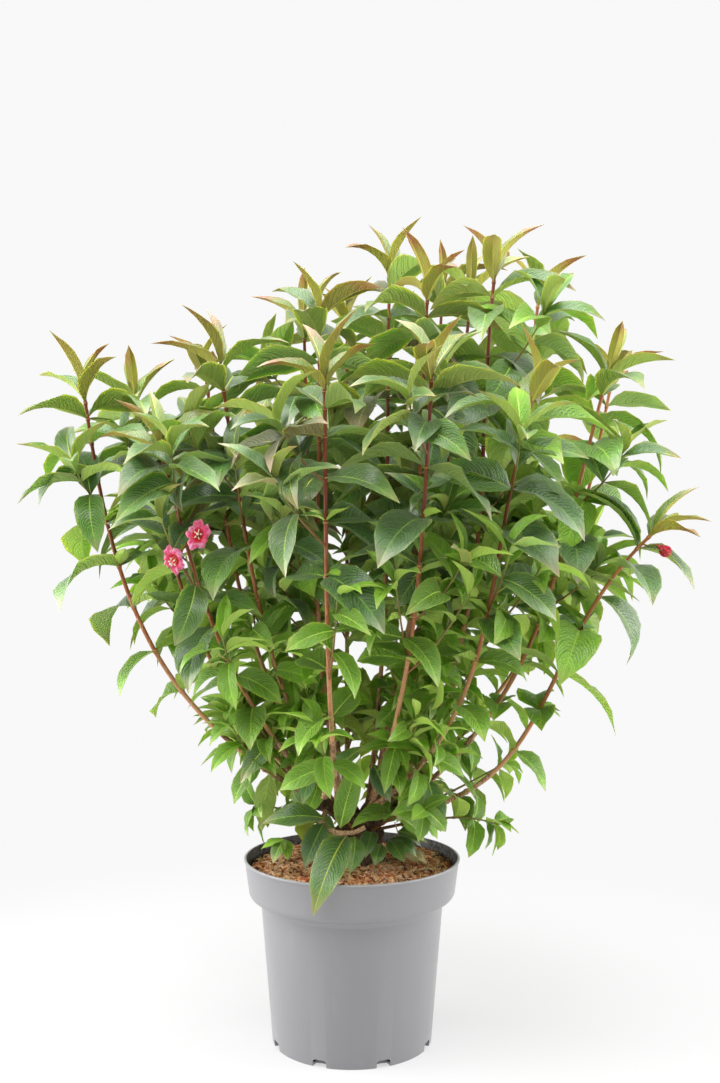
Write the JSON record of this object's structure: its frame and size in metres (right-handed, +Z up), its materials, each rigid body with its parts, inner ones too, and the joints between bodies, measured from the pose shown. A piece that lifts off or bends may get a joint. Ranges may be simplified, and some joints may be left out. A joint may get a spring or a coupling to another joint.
{
  "type": "potted weigela shrub",
  "caption": "Potted weigela: a flowering shrub of upright leafy canes from one woody stool, with a few crimson blooms, in a grey nursery pot",
  "frame": {"origin": "centre of the pot's flat underside, on the surface it stands on", "axes": "+Z up along the pot's axis and the shrub, +X to the right and +Y to the back of its front view"},
  "size_m": [0.9178, 0.7329, 1.1653],
  "materials": {
    "pot_plastic": "smooth mid-grey moulded plastic",
    "compost": "loose bark chips and coir fibres",
    "old_bark": "rough old grey-brown bark",
    "cane_bark": "smooth tan to reddish young bark",
    "foliage": "satin green leaves, bronze at the tips",
    "blossom": "soft crimson petals"
  },
  "bodies": {
    "root": {"pot": "pot_plastic", "compost": "compost", "stool": "old_bark", "bough_01": "cane_bark", "bough_02": "cane_bark", "bough_03": "cane_bark", "bough_04": "cane_bark", "bough_05": "cane_bark", "bough_06": "cane_bark", "bough_07": "cane_bark", "bough_08": "cane_bark", "bough_09": "cane_bark", "bough_10": "cane_bark", "bough_11": "cane_bark", "bough_12": "cane_bark", "bough_13": "cane_bark", "bough_14": "cane_bark", "bough_15": "cane_bark", "bough_16": "cane_bark", "bough_17": "cane_bark", "bough_18": "cane_bark", "bough_19": "cane_bark", "bough_20": "cane_bark", "bough_21": "cane_bark", "bough_22": "cane_bark", "bough_23": "cane_bark", "bough_24": "cane_bark", "foliage_01": "foliage", "foliage_02": "foliage", "foliage_03": "foliage", "foliage_04": "foliage", "foliage_05": "foliage", "foliage_06": "foliage", "foliage_07": "foliage", "foliage_08": "foliage", "foliage_09": "foliage", "foliage_10": "foliage", "foliage_11": "foliage", "foliage_12": "foliage", "foliage_13": "foliage", "foliage_14": "foliage", "foliage_15": "foliage", "foliage_16": "foliage", "foliage_17": "foliage", "foliage_18": "foliage", "foliage_19": "foliage", "foliage_20": "foliage", "foliage_21": "foliage", "foliage_22": "foliage", "foliage_23": "foliage", "foliage_24": "foliage", "low_foliage_01": "foliage", "low_foliage_02": "foliage", "low_foliage_03": "foliage", "low_foliage_04": "foliage", "low_foliage_05": "foliage", "low_foliage_06": "foliage", "low_foliage_07": "foliage"}
  },
  "joints": []
}
